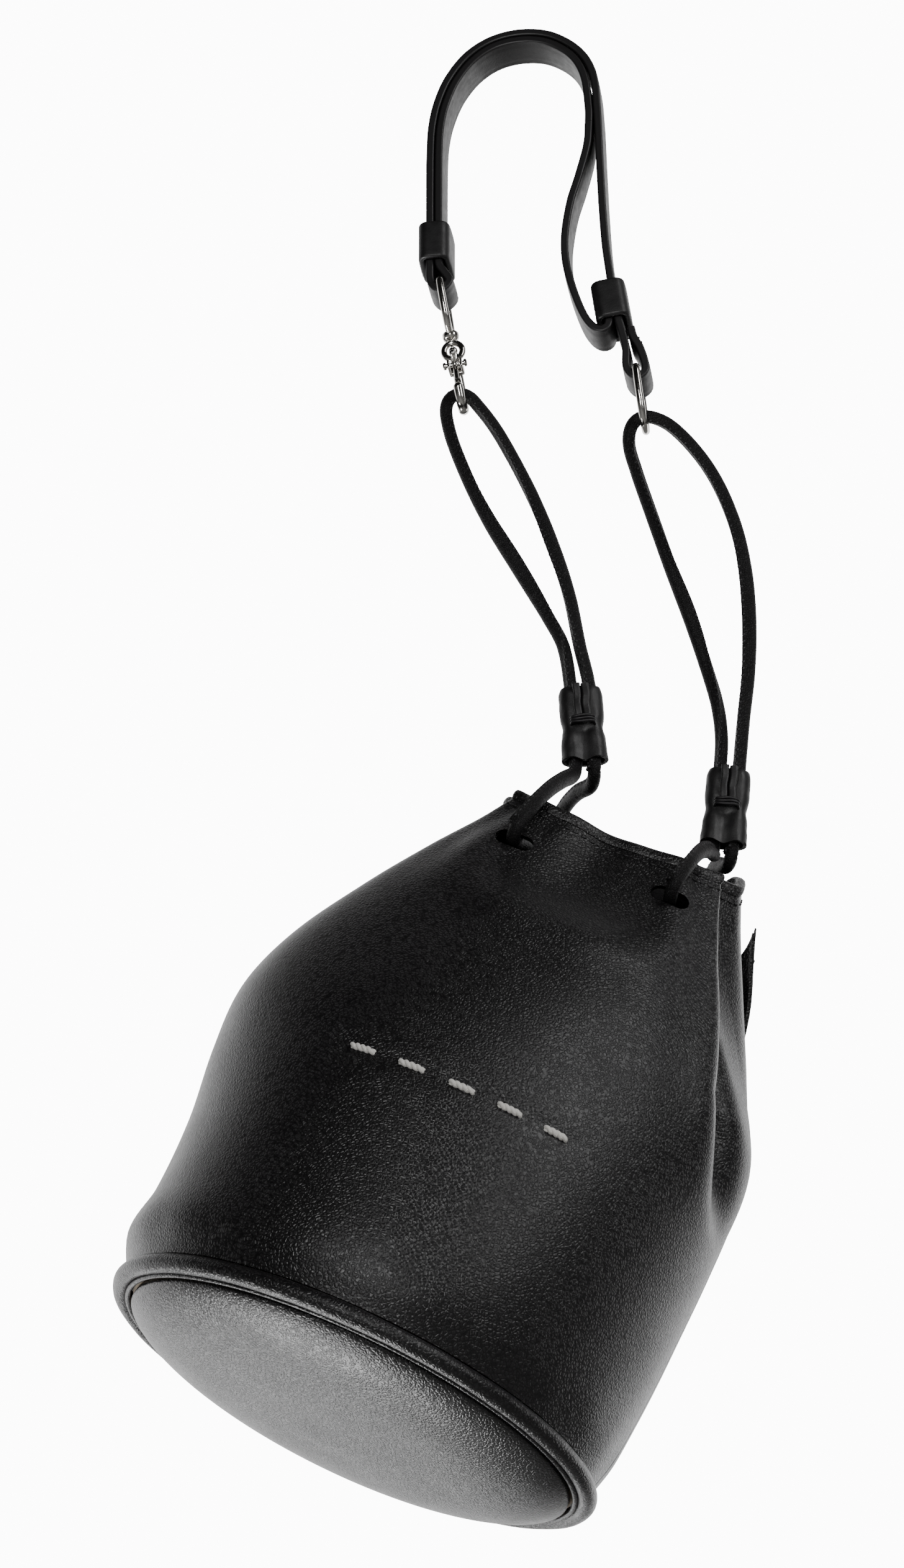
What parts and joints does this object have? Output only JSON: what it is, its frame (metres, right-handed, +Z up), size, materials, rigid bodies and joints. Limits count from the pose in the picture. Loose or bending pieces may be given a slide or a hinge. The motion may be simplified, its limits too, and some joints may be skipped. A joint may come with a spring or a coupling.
{
  "type": "drawstring bucket bag",
  "caption": "Small black leather drawstring bucket bag, hanging by an adjustable doubled hand strap with a swivel snap hook and ring that hold its two looped drawcords.",
  "frame": {"origin": "where the strap hangs: the middle of the arch's inner face, against whatever holds it up", "axes": "+Z up as it hangs; -Y is the side the bag's front panel faces; the bag's own axis leans 24.7 degrees from +Z towards +X at its mouth"},
  "size_m": [0.1761, 0.14, 0.4556],
  "materials": {
    "pebbled_leather": "fine pebbled grain, soft sheen",
    "smooth_leather": "smooth, semi-gloss",
    "cord_leather": "rolled leather, semi-gloss",
    "lining_cloth": "matt woven",
    "board": "grey-brown stiffening board",
    "polished_steel": "polished nickel plate",
    "thread": "waxed thread"
  },
  "bodies": {
    "strap": {"strap": "smooth_leather", "strap_tail": "smooth_leather"},
    "keeper": {"strap_keeper": "smooth_leather"},
    "adjuster": {"adjuster_sleeve": "smooth_leather"},
    "eye": {"swivel_eye": "polished_steel"},
    "snap": {"snap_hook": "polished_steel", "gate_pin": "polished_steel", "gate_spring": "polished_steel"},
    "gate": {"snap_gate": "polished_steel"},
    "ring": {"ring_right": "polished_steel"},
    "bag": {"front_panel": "pebbled_leather", "back_panel": "pebbled_leather", "mouth_facing": "smooth_leather", "lining_wall": "lining_cloth", "top_binding": "pebbled_leather", "piping": "pebbled_leather", "base_panel": "pebbled_leather", "base_board": "board", "lining_base": "lining_cloth", "back_pocket": "pebbled_leather", "inner_patch": "smooth_leather", "drawcord_left": "cord_leather", "drawcord_right": "cord_leather", "cord_splice_left": "cord_leather", "cord_splice_right": "cord_leather"},
    "slider_left": {"slider_left": "smooth_leather", "slider_thread_left": "thread"},
    "slider_right": {"slider_right": "smooth_leather", "slider_thread_right": "thread"}
  },
  "joints": [
    {"name": "bag_swing", "type": "hinge", "parent": "strap", "child": "bag", "pos_m": [-0.0188, 0.0028, -0.1171], "axis": [0.965, -0.144, -0.219], "range_deg": [-25, 25]},
    {"name": "keeper_slide", "type": "slide", "parent": "strap", "child": "keeper", "axis": [0, 0, 1], "range_m": [0, 0.02]},
    {"name": "adjuster_slide", "type": "slide", "parent": "strap", "child": "adjuster", "axis": [-0.1376, 0.0206, 0.9903], "range_m": [0, 0.012], "deforming": ["strap_tail"]},
    {"name": "eye_tilt", "type": "hinge", "parent": "strap", "child": "eye", "pos_m": [-0.02393, 0.00358, -0.0815], "axis": [0.1478, 0.989, 0], "range_deg": [-4, 4], "deforming": ["drawcord_left"]},
    {"name": "snap_swivel", "type": "hinge", "parent": "eye", "child": "snap", "pos_m": [-0.02119, 0.00317, -0.1003], "axis": [-0.1445, 0.0216, 0.9893], "range_deg": [-30, 30], "deforming": ["drawcord_left"]},
    {"name": "gate_open", "type": "hinge", "parent": "snap", "child": "gate", "pos_m": [-0.02036, 0.00041, -0.10861], "axis": [0.9784, -0.1462, 0.1461], "range_deg": [0, 30], "stiffness_Nm_per_rad": 0.004, "springref_deg": -8.59},
    {"name": "ring_tilt", "type": "hinge", "parent": "strap", "child": "ring", "pos_m": [0.03284, -0.00491, -0.116], "axis": [0.1478, 0.989, 0], "range_deg": [-8, 8], "deforming": ["drawcord_right"]},
    {"name": "slider_left_slide", "type": "slide", "parent": "bag", "child": "slider_left", "axis": [-0.0523, 0, 0.9986], "range_m": [0, 0.01], "deforming": ["drawcord_left"]},
    {"name": "slider_right_slide", "type": "slide", "parent": "bag", "child": "slider_right", "axis": [0.1045, 0, 0.9945], "range_m": [0, 0.01], "deforming": ["drawcord_right"]}
  ]
}
